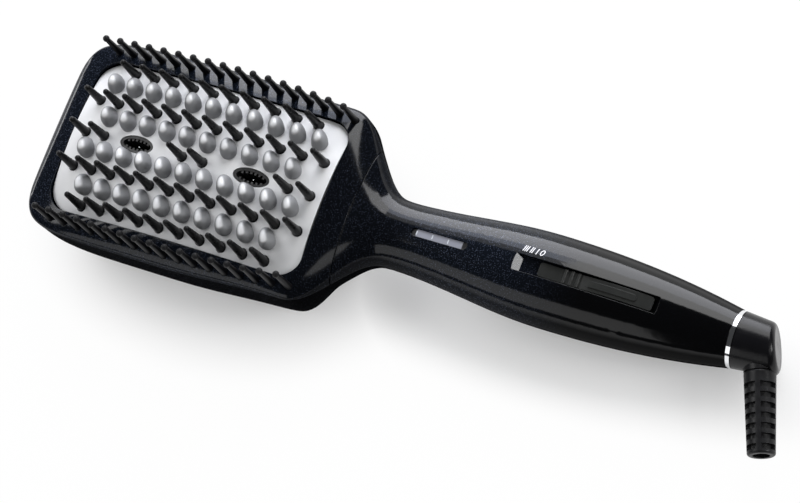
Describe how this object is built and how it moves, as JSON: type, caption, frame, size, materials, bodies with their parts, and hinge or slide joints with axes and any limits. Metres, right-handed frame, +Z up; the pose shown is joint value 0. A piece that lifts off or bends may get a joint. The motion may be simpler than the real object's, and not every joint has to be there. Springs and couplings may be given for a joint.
{
  "type": "hair straightening brush",
  "caption": "Electric hair straightening brush: domed metal heating plate with bristle pins, ball-tipped side bristles, slim handle with slide switch and swivelling cord end.",
  "frame": {"origin": "on the flat of the back under the middle of the bristle field, where the brush lies on a surface", "axes": "+X from the head along the handle to the cord end, +Y to the far long side of the head, +Z up, the way the bristles point"},
  "size_m": [0.3234, 0.0868, 0.0627],
  "materials": {
    "casing_gloss": "glossy with fine metallic flake",
    "plate_metal": "smooth coated metal, satin to glossy",
    "bristle_black": "satin heat-proof plastic",
    "outlet_black": "satin",
    "slider_black": "glossy",
    "window_tint": "clear tinted plastic",
    "trim_chrome": "polished",
    "cap_black": "glossy",
    "relief_rubber": "satin",
    "inner_plastic": "moulded",
    "pad_mica": "pressed sheet",
    "heater_metal": "extruded",
    "screw_steel": "zinc plated",
    "contact_brass": "bare",
    "board_green": "lacquered board",
    "light_white": "moulded lens",
    "lead_red": "silicone insulation",
    "lead_white": "silicone insulation"
  },
  "bodies": {
    "body": {"head_bezel": "casing_gloss", "handle_top": "casing_gloss", "back_shell": "casing_gloss", "heating_plate": "plate_metal", "plate_frame": "inner_plastic", "bristle_carrier": "inner_plastic", "carrier_screws": "screw_steel", "heater_bars": "heater_metal", "heater_pads": "pad_mica", "thermal_cutout": "heater_metal", "temperature_sensor": "light_white", "ion_needles": "screw_steel", "ion_generator": "inner_plastic", "control_board": "board_green", "indicator_lights": "light_white", "indicator_window": "window_tint", "switch_body": "outlet_black", "casing_screws": "screw_steel", "trim_ring": "trim_chrome", "swivel_bush": "inner_plastic", "contact_fingers": "contact_brass", "heater_leads": "lead_red", "ion_lead": "lead_white", "bristle_row_1": "bristle_black", "bristle_row_2": "bristle_black", "bristle_row_3": "bristle_black", "bristle_row_4": "bristle_black", "bristle_row_5": "bristle_black", "side_bristles_far": "bristle_black", "side_bristles_near": "bristle_black", "ion_outlet_tip": "outlet_black", "ion_outlet_neck": "outlet_black"},
    "switch": {"switch_slider": "slider_black", "switch_carriage": "inner_plastic"},
    "swivel": {"swivel_cap": "cap_black", "spindle_clip": "screw_steel", "contact_rings": "contact_brass", "strain_relief": "relief_rubber"}
  },
  "joints": [
    {"name": "switch_slide", "type": "slide", "parent": "body", "child": "switch", "axis": [-0.995, 0, 0.0999], "range_m": [0, 0.0069]},
    {"name": "cord_swivel", "type": "hinge", "parent": "body", "child": "swivel", "pos_m": [0.2243, 0, 0.0126], "axis": [1, 0, 0], "continuous": true}
  ]
}
